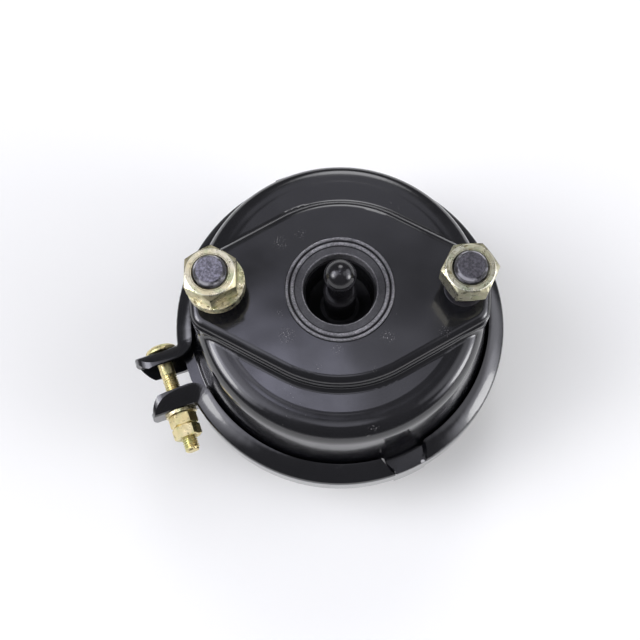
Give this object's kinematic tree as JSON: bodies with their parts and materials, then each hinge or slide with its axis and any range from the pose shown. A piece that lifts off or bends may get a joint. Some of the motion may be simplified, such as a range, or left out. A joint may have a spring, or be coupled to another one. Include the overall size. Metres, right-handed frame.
{
  "type": "air brake chamber",
  "caption": "Round pressed-steel air brake chamber for a disc brake, with mounting studs, sealed mouth and ball-ended push rod driven by a diaphragm.",
  "frame": {"origin": "on the chamber's axis in the plane of its mounting face, midway between the two studs", "axes": "+Z along the chamber's axis out of the mouth, the way the push rod moves; +X towards the right-hand stud"},
  "size_m": [0.1962, 0.174, 0.1395],
  "materials": {
    "black_paint": "glossy",
    "yellow_zinc": "satin",
    "rubber": "matt",
    "black_rod": "glossy",
    "bare_steel": "satin"
  },
  "bodies": {
    "chamber": {"front_housing": "black_paint", "rear_housing": "black_paint", "clamp_band": "black_paint", "clamp_bolt": "yellow_zinc", "clamp_washer": "yellow_zinc", "clamp_nut": "yellow_zinc", "clamp_lock_nut": "yellow_zinc", "stud_left": "black_paint", "stud_right": "black_paint", "stud_nut_left": "yellow_zinc", "stud_nut_right": "yellow_zinc", "stud_washer_upper": "yellow_zinc", "stud_washer_lower": "yellow_zinc", "stud_plate": "bare_steel", "mouth_seal": "rubber", "dust_boot": "rubber", "spring_seat_ring": "bare_steel", "return_spring": "bare_steel", "diaphragm": "rubber", "port_boss_open": "black_paint", "port_boss_plugged": "black_paint", "port_plug": "yellow_zinc", "vent_plug_left": "rubber", "vent_plug_right": "rubber"},
    "pushrod": {"pushrod": "black_rod", "push_plate": "bare_steel", "plate_hub": "bare_steel", "boot_clip": "yellow_zinc"}
  },
  "joints": [
    {"name": "pushrod_stroke", "type": "slide", "parent": "chamber", "child": "pushrod", "axis": [0, 0, 1], "range_m": [0, 0.057], "stiffness_N_per_m": 2600, "springref_m": -0.005, "deforming": ["return_spring", "diaphragm", "dust_boot"]}
  ]
}
